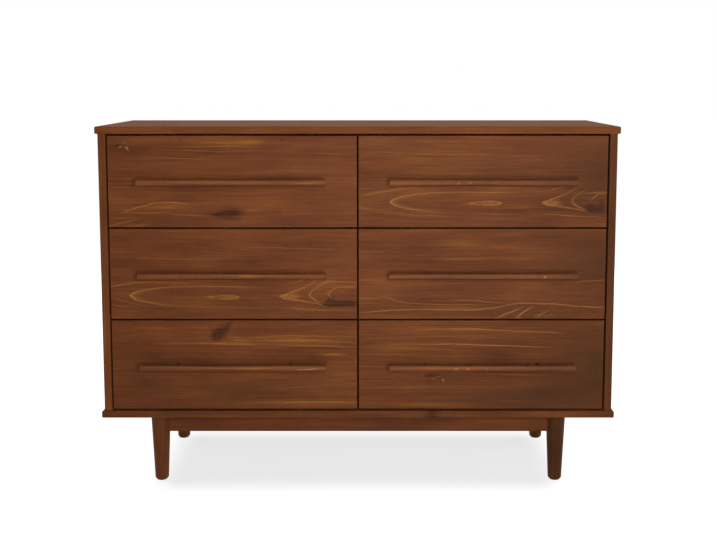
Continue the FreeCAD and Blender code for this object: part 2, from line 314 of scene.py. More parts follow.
    roughLow, roughHigh = wood["roughness"]
    roughness = add("MapRange", {
        "Value": fibre, "From Min": 0.3, "From Max": 0.7, "To Min": roughLow, "To Max": roughHigh})
    relief = add("Math", {0: lineMask, 1: grainShape["lineRelief"], 2: fibre}, operation="MULTIPLY_ADD")
    bump = add("Bump", {
        "Height": relief, "Strength": wood["bump"], "Distance": grainShape["relief"] * mm})
    surface = add("BsdfPrincipled", {
        "Base Color": colour, "Roughness": roughness, "IOR": 1.5,
        "Specular IOR Level": board.get("gloss", wood["gloss"]), "Normal": bump})
    add("OutputMaterial", {"Surface": surface})
    return material


# Metal, paint and felt: each is one fine noise, its size in mm, that colours and roughens the surface

# steel under dark bronze powder paint: satin, with the faint orange peel of the spray
bronzePaint = {
    "name": "powder_painted_steel_bronze", "grain": 1.2, "detail": 2.0,
    "colours": [(0.3, "#1e1611"), (0.7, "#2a2019")], "bump": (0.2, 0.05),
    "surface": {"Roughness": 0.38, "IOR": 1.5},
}
# zinc-plated steel, barrel plated: cool grey with cloudy, slightly iridescent patches
zincPlate = {
    "name": "barrel_plated_zinc_steel", "grain": 6, "detail": 3.0,
    "colours": [(0.3, "#a4a5a3"), (0.55, "#bdbcb6"), (0.75, "#cfc9b6")], "roughness": (0.28, 0.46),
    "surface": {"Metallic": 1.0},
}
# dense needled felt: matt, with short tangled hairs about a millimetre apart
needledFelt = {
    "name": "needled_felt_dark", "grain": 1.0, "detail": 4.0,
    "colours": [(0.3, "#151311"), (0.7, "#2c2825")], "bump": (0.6, 0.3),
    "surface": {"Roughness": 0.95, "Sheen Weight": 0.3},
}


def fineMaterial(look):
    material, add = newMaterial(look["name"])
    place = add("TexCoord").outputs["Object"]
    grain = add("TexNoise", {
        "Vector": place, "Scale": 1 / (look["grain"] * mm), "Detail": look["detail"]})
    sockets = dict(look["surface"])
    sockets["Base Color"] = add("ValToRGB", {"Fac": grain}, stops=look["colours"])
    if "roughness" in look:
        low, high = look["roughness"]
        sockets["Roughness"] = add("MapRange", {"Value": grain, "To Min": low, "To Max": high})
    if "bump" in look:
        strength, deep = look["bump"]  # the depth in mm
        sockets["Normal"] = add("Bump", {"Height": grain, "Strength": strength, "Distance": deep * mm})
    surface = add("BsdfPrincipled", sockets)
    add("OutputMaterial", {"Surface": surface})
    return material


# Mesh helpers

near = 1e-6  # metres: places closer than this are one
meshShape = {
    "sharp": 50,  # degrees: flatter edges shade smoothly
    "arrisSegments": 3, "easeSegments": 5,
}


def newObject(name, data):
    made = bpy.data.objects.new(name, data)
    bpy.context.scene.collection.objects.link(made)
    return made


def meshObject(form, name, material):
    mesh = bpy.data.meshes.new(name)
    form.to_mesh(mesh)
    form.free()
    mesh.materials.append(material)
    return newObject(name, mesh)


def finishPiece(form, name, material, body, slot, *stands):
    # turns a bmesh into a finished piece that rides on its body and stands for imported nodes
    bmesh.ops.recalc_face_normals(form, faces=form.faces)
    piece = meshObject(form, name, material)
    piece.data.shade_smooth()
    piece.data.set_sharp_from_angle(angle=math.radians(meshShape["sharp"]))
    evenNormals = piece.modifiers.new("even_normals", "WEIGHTED_NORMAL")
    evenNormals.keep_sharp = True
    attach(piece, body)
    if stands:
        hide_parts(*stands)


def plainBox(form, low, high):
    made = bmesh.ops.create_cube(form, size=1.0)["verts"]
    bmesh.ops.scale(form, vec=high - low, verts=made)
    bmesh.ops.translate(form, vec=(low + high) / 2, verts=made)
    return made


def easeEdges(form, edges, width, segments):
    # rounds edges over, and gives back the corners that this makes
    return bmesh.ops.bevel(form, geom=edges, offset=width, segments=segments, profile=0.5,
                           affect="EDGES", material=-1)["verts"]


def softBox(form, low, high, arris):
    # a board with its arrises eased
    made = plainBox(form, low, high)
    edges = list({e for v in made for e in v.link_edges})
    easeEdges(form, edges, arris, meshShape["arrisSegments"])


def turnedRod(form, start, end, startRadius, endRadius, startEase, endEase, segments):
    # a turned rod from start to end, its two end arrises eased
    axis = end - start
    made = bmesh.ops.create_cone(form, cap_ends=True, segments=segments, radius1=startRadius,
                                 radius2=endRadius, depth=axis.length)["verts"]
    half = axis.length / 2
    for side, ease in ((-half, startEase), (half, endEase)):
        ring = [v for v in made if v.is_valid and abs(v.co.z - side) < near]
        rim = [e for e in form.edges if e.verts[0] in ring and e.verts[1] in ring]
        if ease:
            grown = easeEdges(form, rim, ease, meshShape["easeSegments"])
            made = [v for v in made if v.is_valid] + grown
    made = list({v for v in made if v.is_valid})
    turn = Vector((0, 0, 1)).rotation_difference(axis).to_matrix()
    bmesh.ops.rotate(form, cent=(0, 0, 0), matrix=turn, verts=made)
    bmesh.ops.translate(form, vec=(start + end) / 2, verts=made)


# Drawer fronts. Places on a board are millimetres from its middle: along the grain, across it.
# A knot, glow, shade or fleck is (along, across, half length, half width, turn, strength).

# one flitch was sawn into three of the fronts, so the same arches show on them, shifted
archedFlitch = {
    "heart": (-47.5, -325), "lean": (-1.115, 3.01), "apex": -232, "ring": 1.727, "offset": 0.069,
    "sway": 0, "shiver": 0.12, "line": 0.06, "lineStrength": 0.95, "faintest": 0.7, "faded": 0.02,
    "swells": [(15, -55, 62, 15, 0, 0.5), (-20, -55.5, 36, 7, 0, 0.28),
        (97.6, 22.4, 642, 177, -10.6, -7.29), (272.6, -79, 98.5, 74.5, 11.7, 7.26),
        (250.5, -73.5, 135.5, 44.5, 24.5, -4.12)],
    "clear": [(-190, -52, 200, 60, 0, 2.0), (15, -45, 160, 60, 0, 1.6), (205, -42, 90, 48, 15, 3.0)],
}
# painted shade: the tones darken the right-hand fronts and the lower rows
frontBoards = {
    "top_left": {
        "seed": 3, "heart": (70, -260), "lean": (0.5, 0.9), "lineStrength": 0.25, "sway": 14,
        "knotsAndShade": [(-287, 93, 14, 7, 0, 0.8), (126, 106, 11, 5, 0, 0.7), (-130, 107, 4, 3.5, 0, 0.9),
            (-4, -81, 48, 27, 0, 0.9), (-40, -84, 44, 13, 0, 0.6)],
        "flecks": [(-269, 99, 12, 3.4, 0, 0.3), (-280, 88, 13, 3, 4, 0.4), (-263, 84, 11, 4, -62, 0.5),
            (132, -76, 2.5, 8, 0, 0.35)],
        "glows": [(44, 101, 60, 16, 0, 1.0), (-20, 98, 170, 26, 0, 0.8), (-210, 104, 130, 12, 0, 0.5),
            (-165, -64, 120, 14, 2, 1.1), (-240, -112, 90, 12, 12, 0.7), (48, -73, 40, 8, 0, 0.7)],
        "veins": [(2.2, 0.55, [(-274, -77), (-239, -65), (-202, -56), (-157, -53), (-116, -56)]),
            (2.0, 0.5, [(-250, -78), (-180, -79)]), (1.8, 0.45, [(-142, -84), (-72, -86)]),
            (1.8, 0.4, [(-110, 88), (0, 89), (60, 86)]), (1.6, 0.35, [(-200, 62), (-60, 57)]),
            (1.6, 0.35, [(-150, 80), (-20, 76), (80, 79)]), (2.0, 0.4, [(-310, -112), (-250, -98)])],
        "cracks": [(2.0, 0.3, [(-252, -64), (-200, -51), (-150, -48), (-90, -50)]),
            (7.0, 0.4, [(-6, -80), (20, -78)]), (3.0, 0.3, [(-60, -82), (-30, -86)])],
        "shades": [(200, -22, 60, 12, 0, 0.5), (-60, -22, 80, 10, 0, 0.35), (0, 40, 140, 24, 0, 0.2)],
    },
    "top_right": {
        **archedFlitch, "seed": 8, "tone": 0.92,
        "knotsAndShade": [(286, -70, 50, 14, 2, 0.8), (270, -64, 20, 16, 30, 0.6), (300, -54, 22, 18, 60, 0.45)],
        "glows": [(18, -55, 44, 8, 0, 1.8), (-30, -55, 26, 4, 2, 2.6), (182, -53, 30, 10, 0, 2.6),
            (-140, 50, 300, 100, 0, 0.35), (-160, -20, 240, 100, 0, 0.2)],
        "veins": [(2.0, 0.45, [(-301, -35), (-261, -27), (-200, -19)]),
            (1.8, 0.35, [(-313, -20), (-262, -16)]),
            (1.8, 0.3, [(-300, -66), (-237, -75), (-180, -84), (-80, -90)]),
            (2.0, 0.4, [(167, -82), (235, -88), (300, -90)]),
            (2.2, 0.5, [(182, -59), (240, -70), (262, -76)]),
            (2.2, 0.5, [(228, -57), (244, -65), (262, -70)]),
            (2.4, 0.5, [(312, -28), (290, -32), (277, -44)]),
            (1.6, 0.35, [(-250, 74), (-60, 68), (40, 72)]), (1.4, 0.3, [(-120, 20), (60, 24)]),
            (2.0, 0.45, [(258, -30), (310, -26)])],
        "cracks": [(1.8, 0.3, [(-221, -50), (-197, -58), (-150, -71)]),
            (2.4, 0.5, [(246, -62), (270, -74)]), (2.4, 0.5, [(256, -76), (312, -77)])],
        # painted shade: the first shade darkens the right end
        "shades": [(300, 10, 220, 190, 0, 0.95), (89, -75, 22, 3, 0, 0.9)],
    },
    "middle_left": {
        **archedFlitch, "seed": 15, "shift": (-32, -5), "tone": 0.97,
        "knotsAndShade": [(262, -78, 66, 12, 0, 1.0), (246, -70, 22, 15, 40, 0.9), (290, -74, 40, 11, 0, 0.8)],
        "glows": [(-14, -60, 44, 8, 0, 1.8), (-62, -59, 26, 4, 2, 2.6), (150, -58, 30, 10, 0, 2.6),
            (-120, -92, 90, 7, 0, 0.6), (180, -92, 90, 6, -2, 0.7), (230, -20, 140, 120, 0, 0.4)],
        "veins": [(2.0, 0.4, [(-310, -30), (-239, -22), (-112, -21)]),
            (1.8, 0.3, [(-310, -63), (-240, -80)]), (2.0, 0.4, [(137, -87), (213, -93), (300, -95)]),
            (2.2, 0.5, [(216, -24), (250, -19), (306, -22)]),
            (2.4, 0.5, [(306, -33), (266, -34), (248, -42), (242, -53), (248, -62)]),
            (2.2, 0.5, [(150, -64), (205, -75), (228, -82)]),
            (2.2, 0.5, [(199, -62), (212, -70), (232, -76)]),
            (1.5, 0.3, [(-280, 44), (-120, 38), (20, 42)]), (1.5, 0.3, [(60, 70), (240, 64)])],
        "cracks": [(2.0, 0.25, [(-300, -88), (-200, -92), (-105, -90)]),
            (2.4, 0.5, [(216, -68), (238, -80)]), (2.2, 0.6, [(240, -58), (250, -76)]),
            (2.4, 0.6, [(218, -81), (306, -82)])],
        # painted shade: the last shade darkens the lower half
        "shades": [(-200, -88, 120, 9, 0, 0.5), (52, -82, 26, 3, 0, 0.8), (60, -98, 140, 9, 0, 0.3),
            (0, -80, 560, 70, 0, 0.3)],
    },
    "middle_right": {
        **archedFlitch, "seed": 21, "shift": (-136, -67), "tone": 0.93,
        "clear": [(232, -36, 90, 26, 15, 1.6), (145, 37, 100, 36, 0, -2.0)],
        "knotsAndShade": [(262, -42, 26, 20, 40, 0.3), (-146, -66, 24, 5, 0, 0.35)],
        "glows": [(-50, 80, 130, 30, 0, 0.8), (-20, 40, 190, 5, 0, 0.8), (-280, 58, 90, 4, 0, 0.8),
            (-60, -88, 200, 12, 0, 0.9), (-200, -110, 200, 12, 0, 0.7)],
        "veins": [(2.2, 0.55, [(-312, -100), (-239, -95), (-185, -92), (-32, -93), (30, -87), (71, -79),
            (112, -75), (195, -78), (257, -84), (311, -86)]), (1.8, 0.45, [(-313, -63), (-265, -62)]),
            (1.8, 0.45, [(-250, -60), (-198, -74), (-120, -78), (0, -79)]),
            (1.8, 0.5, [(-65, -67), (-12, -69), (38, -74)]), (1.8, 0.45, [(253, -19), (311, -15)]),
            (1.5, 0.4, [(-115, 40), (-30, 39)]), (1.5, 0.35, [(70, 40), (130, 40)]),
            (2.2, 0.6, [(34, -116), (62, -103), (98, -90)]),
            (2.2, 0.55, [(94, -115), (104, -101), (124, -88)]),
            (2.0, 0.5, [(142, -114), (152, -103), (168, -96)])],
        "cracks": [(1.8, 0.3, [(-200, -70), (-110, -74), (40, -80), (110, -79)])],
        # painted shade: the first shade darkens the right end, the last the lower half
        "shades": [(300, 30, 250, 200, 0, 1.0), (180, -26, 60, 10, 0, 0.5), (0, -80, 560, 80, 0, 0.35)],
    },
    "bottom_left": {
        "seed": 28, "heart": (110, -220), "lean": (0.4, 0.6), "lineStrength": 0.3, "sway": 14,
        "tone": 0.92,
        "knotsAndShade": [(-36, 86, 40, 26, 42, 0.9), (-13, 105, 26, 9, 50, 0.6), (-46, 76, 24, 18, 60, 0.5),
            (200, 24, 34, 22, 30, 0.42), (142, 5, 4, 3, 0, 0.8), (233, 8, 6, 4, 0, 0.8),
            (118, -76, 6, 4, 40, 0.4)],
        "glows": [(150, 64, 260, 26, -1, 1.3), (-30, 56, 120, 8, 0, 1.1), (252, 27, 60, 7, 0, 1.2),
            (10, 66, 60, 16, -20, 0.8), (177, -99, 230, 14, 0, 1.1), (-200, 96, 130, 12, -4, 0.6),
            (270, -30, 120, 50, 0, 0.5)],
        "veins": [(2.6, 0.35, [(-140, 57), (-20, 55), (56, 53)]),
            (2.4, 0.4, [(130, 52), (230, 49), (311, 47)]), (2.0, 0.3, [(40, 72), (150, 76), (300, 74)]),
            (2.4, 0.3, [(90, 62), (200, 64), (311, 60)]), (2.4, 0.5, [(226, 28), (276, 27)]),
            (2.6, 0.35, [(24, -100), (150, -98), (311, -99)]), (1.6, 0.25, [(120, -62), (300, -50)])],
        "cracks": [(1.6, 0.3, [(100, 48), (200, 45), (300, 42)]), (7.0, 0.45, [(-44, 82), (-28, 92)]),
            (3.0, 0.4, [(-66, 106), (-52, 84)]), (2.4, 0.35, [(-62, 72), (-46, 82)])],
        # painted shade: the last shade darkens the lower half
        "shades": [(-230, -48, 120, 40, 0, 0.7), (-200, 20, 240, 40, 0, 0.3), (40, -60, 160, 50, 0, 0.3),
            (0, -80, 560, 80, 0, 0.55)],
    },
    "bottom_right": {
        "seed": 35, "heart": (120, -200), "lean": (0.4, -0.4), "lineStrength": 0.3, "sway": 12,
        "tone": 0.84,
        "knotsAndShade": [(-136, -27, 15, 9, 0, 0.9), (-112, -29, 26, 9, -10, 0.8), (215, -28, 40, 10, 0, 0.3),
            (-152, 13, 5, 3, 0, 0.7), (145, 7, 4, 3, 0, 0.8), (-61, 67, 6, 4, 0, 0.4),
            (-280, 90, 20, 4, 0, 0.35)],
        "flecks": [(-120, -36, 12, 3, 18, 0.35), (-107, -31, 12, 3, 6, 0.35),
            (-97, -40, 10, 3.4, -62, 0.5)],
        "glows": [(-20, 92, 130, 8, 0, 0.9), (43, 51, 150, 4, -2, 0.9), (-220, 46, 170, 30, 0, 0.8),
            (-150, -104, 260, 12, 0, 0.9), (-180, -60, 190, 14, -3, 0.5)],
        "veins": [(2.4, 0.6, [(-165, 91), (-65, 95), (9, 92), (112, 88), (191, 84)]),
            (2.2, 0.65, [(-185, 54), (-57, 54), (17, 51), (104, 49), (158, 46)]),
            (1.6, 0.35, [(-310, 46), (-180, 44), (-60, 38)]), (1.6, 0.35, [(-310, 28), (-170, 27)]),
            (1.4, 0.3, [(-250, 72), (-80, 74), (60, 70)]), (1.5, 0.35, [(-290, -60), (-120, -57)]),
            (1.5, 0.35, [(20, -24), (140, -27)])],
        "cracks": [(1.6, 0.25, [(-60, 44), (100, 36)])],
        # painted shade: the first shade darkens the right end, the last the lower half
        "shades": [(300, 0, 260, 220, 0, 1.0), (160, -75, 240, 70, 0, 0.7), (0, -80, 560, 80, 0, 0.5)],
    },
}
frontShape = {
    "arris": 1.0,  # broken by hand, mm
    "arrisHighlightWidth": 1.6, "arrisHighlightStrength": 0.8,  # how far a painted highlight reaches in from the arrises, mm, and how strong it is
    "gapShade": (1.2, 3.0, 0.6),  # painted shade of the gaps: from and to how deep the edges get darker, mm, and to what tone
}


def drawerFront(drawer):
    low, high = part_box(drawer + "_front")
    middle = ((low.x + high.x) / 2, low.y, (low.z + high.z) / 2)
    board = dict(frontBoards[drawer], lies="front", middle=middle)
    halfLong = (high.x - low.x) / 2 / mm
    halfWide = (high.z - low.z) / 2 / mm
    # painted highlight: the arrises lighter and golden, laid on as glows
    arrisHighlightWidth = frontShape["arrisHighlightWidth"]
    gold = frontShape["arrisHighlightStrength"]
    arrises = [(0, side * halfWide, 2 * halfLong, arrisHighlightWidth, 0, gold) for side in (-1, 1)]
    arrises += [(side * halfLong, 0, arrisHighlightWidth, 2 * halfWide, 0, gold) for side in (-1, 1)]
    board["glows"] = [*board["glows"], *arrises]
    board["gapShade"] = frontShape["gapShade"]
    material = woodMaterial("stained_pine_front_" + drawer, stainedPine, board)
    form = bmesh.new()
    softBox(form, low, high, frontShape["arris"] * mm)
    finishPiece(form, drawer + "_front_board", material, drawer + "_drawer", "stained_pine",
                drawer + "_front")


# Bar handles: a turned round bar on two bronze posts

barShape = {"ease": 3.2, "segments": 48}  # end rounding, mm
barWood = {
    "lies": "front", "heart": (30, -40), "lean": (2, 3), "lineStrength": 0.5, "streaks": 0.6,
    "tone": 1.08, "gloss": 0.13,  # a little lighter and glossier than the fronts
    # painted highlight along the bar's upper side
    "glows": [(0, 3, 500, 6, 0, 0.5)],
    # painted shade along the lower and upper sides of the bar, in the shades and the knot strips
    "shades": [(0, -9, 500, 7, 0, 1.3), (0, 9, 500, 4, 0, 0.9)],
    "knotsAndShade": [(0, -9.5, 500, 8, 0, 0.9), (0, 9.5, 500, 6.5, 0, 0.8)],
}
barBoards = {
    "top_left": {"seed": 51, "flecks": [(190, 0, 60, 2.6, 2, 0.35)]},
    "top_right": {
        # painted shade: the shade darkens the bar towards its right end
        "seed": 52, "shades": [(230, 0, 200, 30, 0, 0.7)],
        "flecks": [(-66, 0, 12, 2.2, 32, 0.4), (-36, 1, 9, 2.0, 36, 0.4), (26, 0, 20, 1.8, 14, 0.3)],
    },
    "middle_left": {"seed": 53, "glows": [(40, 0, 60, 12, 0, 0.5)]},
    "middle_right": {
        # painted shade: the second shade darkens the bar towards its right end
        "seed": 54, "shades": [(-100, 0, 200, 30, 0, 0.5), (230, 0, 120, 30, 0, 0.7)],
        "flecks": [(153, 0, 5, 4, 0, 0.6)], "knotsAndShade": [(140, 2, 16, 7, 0, 0.35)],
    },
    "bottom_left": {
        "seed": 55, "flecks": [(190, -1, 60, 2.6, 3, 0.5)], "glows": [(60, 0, 80, 12, 0, 0.8)],
    },
    "bottom_right": {
        # painted shade: the shade darkens the bar towards its right end
        "seed": 56, "shades": [(180, 0, 260, 30, 0, 0.8)],
        "flecks": [(-66, 0, 14, 2.4, 32, 0.5), (-36, 1, 11, 2.2, 36, 0.5), (10, 0, 9, 1.8, 30, 0.4),
            (36, 0, 16, 1.6, 8, 0.3)],
    },
}


def handleBar(drawer):
    low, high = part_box(drawer + "_handle_bar")
    middle = (low + high) / 2
    radius = (high.z - low.z) / 2
    board = {**barWood, **barBoards[drawer], "middle": tuple(middle)}
    for mark in ("glows", "shades", "knotsAndShade"):
        board[mark] = barWood[mark] + barBoards[drawer].get(mark, [])
    material = woodMaterial("stained_pine_bar_" + drawer, stainedPine, board)
    form = bmesh.new()
    ease = barShape["ease"] * mm
    turnedRod(form, Vector((low.x, middle.y, middle.z)), Vector((high.x, middle.y, middle.z)),
              radius, radius, ease, ease, barShape["segments"])
    finishPiece(form, drawer + "_round_bar", material, drawer + "_drawer", "stained_pine",
                drawer + "_handle_bar")


# Legs: turned to a straight taper, standing on felt pads

# rounding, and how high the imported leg's lowest rings reach, mm
legShape = {"footEase": 3.0, "topEase": 0.8, "lowest": 3.6, "segments": 72}
legWood = {"lies": "upright", "heart": (30, -60), "lean": (1.5, 2.0), "lineStrength": 0.45}
legBoards = {
    "left_front": {"seed": 61, "tone": 0.74, "flecks": [(60, 8, 14, 5, 0, 0.35)]},
    "right_front": {"seed": 62, "tone": 0.56, "shades": [(0, 0, 300, 300, 0, 0.7)]},
    "left_rear": {"seed": 63, "tone": 0.75},
    "right_rear": {"seed": 64, "tone": 0.75},
}


def turnedLeg(row, side):
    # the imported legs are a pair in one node, so each half of the node's box gives one leg
    node = row + "_legs"
    low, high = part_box(node)
    topRadius = (high.y - low.y) / 2
    sign = -1 if side == "left" else 1
    middleX = sign * (high.x - topRadius)
    middleY = (low.y + high.y) / 2
    footRadius = topRadius * legTaper()
    form = bmesh.new()
    turnedRod(form, Vector((middleX, middleY, low.z)), Vector((middleX, middleY, high.z)), footRadius,
              topRadius, legShape["footEase"] * mm, legShape["topEase"] * mm, legShape["segments"])
    key = side + "_" + row
    board = {**legWood, **legBoards[key], "middle": (middleX, middleY, (low.z + high.z) / 2)}
    material = woodMaterial("stained_pine_leg_" + key, stainedPine, board)
    finishPiece(form, key + "_turned_leg", material, "case", "stained_pine", node)


def legTaper():
    # a foot's width as a share of the leg's width at the top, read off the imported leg
    low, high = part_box("front_legs")
    reach = low.z + legShape["lowest"] * mm
    rightFoot = [v.co.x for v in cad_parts["front_legs"].data.vertices
                 if v.co.z < reach and v.co.x > 0]
    return (max(rightFoot) - min(rightFoot)) / (high.y - low.y)


# Case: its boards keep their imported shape, and only the top and bottom slabs are rounded over

# sides, top and bottom are glued up from boards this wide, mm, with plainer grain than the fronts
gluedPanel = {
    "glued": 82, "heart": (60, -120), "lean": (0.8, 0.7), "ring": 3.2, "line": 0.12, "sway": 16,
    "lineStrength": 0.75, "faintest": 0.35, "faded": 0.4,
}
caseBoards = {
    "top_panel": {
        **gluedPanel, "lies": "slab", "seed": 71, "tone": 1.1, "gloss": 0.02,
        "shades": [(0, 40, 1500, 420, 0, 0.5)],
        # painted highlight: the first glow lightens the front edge
        "glows": [(0, -217, 900, 14, 0, 0.6), (0, 60, 1500, 500, 0, 0.4)],
    },
    "bottom_panel": {
        # painted shade: the lower tone makes the bottom slab darker, towards the bottom of the case
        **gluedPanel, "lies": "slab", "seed": 72, "tone": 0.8, "knotsAndShade": [(190, -200, 36, 20, 0, 0.7)],
    },
    "left_side_panel": {**gluedPanel, "lies": "upright", "seed": 73, "heart": (60, 140), "tone": 0.9},
    "right_side_panel": {
        # painted shade: the lower tone and the shade over its front edge make the right side darker
        **gluedPanel, "lies": "upright", "seed": 74, "tone": 0.8, "shades": [(0, -200, 900, 60, 0, 0.7)],
    },
    # painted shade: the lower tone makes the front apron darker, towards the bottom of the case
    "front_apron": {"lies": "front", "seed": 76, "tone": 0.72},
    "rear_apron": {"lies": "front", "seed": 77, "tone": 0.9},
    "left_apron": {"lies": "stile", "seed": 78, "tone": 0.9},
    "right_apron": {"lies": "stile", "seed": 79, "tone": 0.9},
}


def dress(node, material):
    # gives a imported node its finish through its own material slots
    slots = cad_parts[node].material_slots
    for entry in slots:
        entry.material = material
    if not slots:
        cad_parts[node].data.materials.append(material)


def middleOf(node):
    low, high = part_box(node)
    return tuple((low + high) / 2)


slabShape = {"round": 4.0, "segments": 6}  # mm: the long edges of top and bottom are rounded over


def roundedSlab(node, material):
    # a slab rounded at its front and sides, with the rebate that the back panel lies in
    low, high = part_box(node)
    backLow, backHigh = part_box("back_panel")
    isTop = low.z > backLow.z
    level = backHigh.z if isTop else backLow.z
    form = bmesh.new()
    plainBox(form, low, Vector((high.x, backLow.y, high.z)))
    rear = backLow.y - 10 * near
    edges = [e for e in form.edges if abs(e.verts[0].co.z - e.verts[1].co.z) < near
             and min(v.co.y for v in e.verts) < rear]
    easeEdges(form, edges, slabShape["round"] * mm, slabShape["segments"])
    for place, across in (((0, 0, level), (0, 0, 1)), (backLow, (1, 0, 0)), (backHigh, (1, 0, 0))):
        bmesh.ops.bisect_plane(form, geom=form.verts[:] + form.edges[:] + form.faces[:], dist=near,
                               plane_co=place, plane_no=across)
    lip = []
    for face in form.faces:
        middle = face.calc_center_median()
        behindBack = backLow.x < middle.x < backHigh.x and (middle.z < level) == isTop
        if all(v.co.y > rear for v in face.verts) and not behindBack:
            lip.append(face)
    lipEdges = list({e for f in lip for e in f.edges})
    drawn = bmesh.ops.extrude_face_region(form, geom=lip + lipEdges)["geom"]
    lipVerts = [g for g in drawn if isinstance(g, bmesh.types.BMVert)]
    bmesh.ops.translate(form, vec=(0, high.y - backLow.y, 0), verts=lipVerts)
    finishPiece(form, node + "_rounded", material, "case", "stained_pine", node)


# the divider is bare inside the case; its front edge is stained, and painted darker than the stain as
# the shade in the gap between the fronts
dividerBoard = {"lies": "upright", "seed": 75, "heart": (40, -120), "gloss": 0.02,
                "shades": [(0, -183, 3000, 16, 0, 8.0)], "knotsAndShade": [(0, -183, 3000, 16, 0, 4.0)]}
dividerWood = {**naturalPine, "cool": "#451a08", "knotAndShade": "#1e0a03"}


def dressCase(zinc):
    for node, board in caseBoards.items():
        material = woodMaterial("stained_pine_" + node, stainedPine, dict(board, middle=middleOf(node)))
        if node in ("top_panel", "bottom_panel"):
            roundedSlab(node, material)
        else:
            dress(node, material)
    board = dict(dividerBoard, middle=middleOf("centre_divider"))
    dress("centre_divider", woodMaterial("planed_pine_centre_divider", dividerWood, board))
    runnerBoard = {"lies": "stile", "seed": 82, "middle": middleOf("divider_runners")}
    beech = woodMaterial("waxed_beech_runners", waxedBeech, runnerBoard)
    for node in ("left_runners", "divider_runners", "right_runners"):
        dress(node, beech)
    blockBoard = {"lies": "front", "seed": 83, "middle": middleOf("corner_blocks"), "heart": (30, -30)}
    dress("corner_blocks", woodMaterial("planed_pine_corner_blocks", naturalPine, blockBoard))
    dress("leg_bolts", zinc)
    dress("foot_pads", fineMaterial(needledFelt))


# Back panel: thin plywood pinned into the rebate, and pinned to the divider

backShape = {
    "recess": 0.4, "arris": 0.3,  # mm
    "pinWidth": 5.0, "pinRise": 0.3, "pinDepth": 2.0, "pinEase": 0.2, "pinEdge": 4.5, "pinPitch": 118,
    "pinSegments": 16,
}


def backPanel(bronze):
    # the panel lies a little below the case's back edges, so the pin heads stay inside them
    low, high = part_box("back_panel")
    face = high.y - backShape["recess"] * mm
    board = {"lies": "front", "seed": 81, "middle": middleOf("back_panel"), "lineStrength": 0.4}
    form = bmesh.new()
    softBox(form, low, Vector((high.x, face, high.z)), backShape["arris"] * mm)
    material = woodMaterial("sanded_plywood_back", sandedPlywood, board)
    finishPiece(form, "pinned_back_panel", material, "case", "plywood", "back_panel")
    edge = backShape["pinEdge"] * mm
    left, right, bottom, top = low.x + edge, high.x - edge, low.z + edge, high.z - edge
    rows = [((left, z), (right, z)) for z in (bottom, top)]  # of pins, from and to
    rows += [((x, bottom), (x, top)) for x in (left, 0, right)]
    places = set()
    for (startX, startZ), (endX, endZ) in rows:
        count = 2 * round(max(endX - startX, endZ - startZ) / (2 * backShape["pinPitch"] * mm))
        for step in range(count + 1):
            share = step / count
            places.add((round(startX + (endX - startX) * share, 5),
                        round(startZ + (endZ - startZ) * share, 5)))
    form = bmesh.new()
    radius = backShape["pinWidth"] / 2 * mm
    inside = face - backShape["pinDepth"] * mm
    outside = face + backShape["pinRise"] * mm
    for x, z in sorted(places):
        turnedRod(form, Vector((x, inside, z)), Vector((x, outside, z)), radius, radius,
                  0, backShape["pinEase"] * mm, backShape["pinSegments"])
    finishPiece(form, "back_panel_pins", bronze, "case", "dark_steel")


# Screws inside the drawers: two with washers hold the handle, four more hold the front to the box

screwShape = {
    "headWidth": 8.4, "headHeight": 2.6, "headSegments": 28,  # mm
    # the domed outline, as shares of the radius and the height
    "headOutline": [(1.0, 0.0), (1.0, 0.3), (0.94, 0.6), (0.82, 0.83), (0.66, 0.97)],
    "recessArm": 0.56, "recessWidth": 0.2, "recessDepth": 0.6, "recessFloor": 0.8,  # shares of the head
    "washerWidth": 14.0, "washerHeight": 1.0, "washerSunk": 0.2, "washerEase": 0.25,
    "washerSegments": 32,
    "frontInset": 52, "frontRise": 34,  # mm from the inner front's ends and edges
}


def screwHead(form, place, outward):
    # a domed head with a cross recess, its seat at the place
    radius = screwShape["headWidth"] / 2 * mm
    height = screwShape["headHeight"] * mm
    outline = screwShape["headOutline"]
    top = height * outline[-1][1]
    head = bmesh.new()
    profile = [head.verts.new((radius * wide, 0, height * tall)) for wide, tall in outline]
    edges = [head.edges.new(pair) for pair in zip(profile, profile[1:])]
    bmesh.ops.spin(head, geom=profile + edges, cent=(0, 0, 0), axis=(0, 0, 1), angle=math.tau,
                   steps=screwShape["headSegments"], use_merge=True)
    rim = [e for e in head.edges if all(abs(v.co.z - top) < near for v in e.verts)]
    arm = radius * screwShape["recessArm"]
    half = radius * screwShape["recessWidth"] / 2
    corners = []
    for x, y in ((1, 0), (0, 1), (-1, 0), (0, -1)):
        corners.append((x * arm + y * half, y * arm - x * half))
        corners.append((x * arm - y * half, y * arm + x * half))
        corners.append(((x - y) * half, (x + y) * half))
    cross = [head.verts.new((x, y, top)) for x, y in corners]
    crossEdges = [head.edges.new(pair) for pair in zip(cross, cross[1:] + cross[:1])]
    bmesh.ops.triangle_fill(head, use_beauty=True, edges=rim + crossEdges, normal=(0, 0, 1))
    covering = [f for f in head.faces if all(v in cross for v in f.verts)]
    bmesh.ops.delete(head, geom=covering, context="FACES_ONLY")
    lowered = bmesh.ops.extrude_edge_only(head, edges=crossEdges)["geom"]
    sunk = [g for g in lowered if isinstance(g, bmesh.types.BMVert)]
    sunkEdges = [e for e in head.edges if all(v in sunk for v in e.verts)]
    bmesh.ops.translate(head, vec=(0, 0, -height * screwShape["recessDepth"]), verts=sunk)
    narrowed = screwShape["recessFloor"]
    bmesh.ops.scale(head, vec=(narrowed, narrowed, 1), verts=sunk)
    bmesh.ops.contextual_create(head, geom=sunkEdges)
    turn = Vector((0, 0, 1)).rotation_difference(outward).to_matrix()
    bmesh.ops.rotate(head, cent=(0, 0, 0), matrix=turn, verts=head.verts)
    bmesh.ops.translate(head, vec=place, verts=head.verts)
    made = bpy.data.meshes.new("screw_head")
    head.to_mesh(made)
    head.free()
    form.from_mesh(made)
    bpy.data.meshes.remove(made)


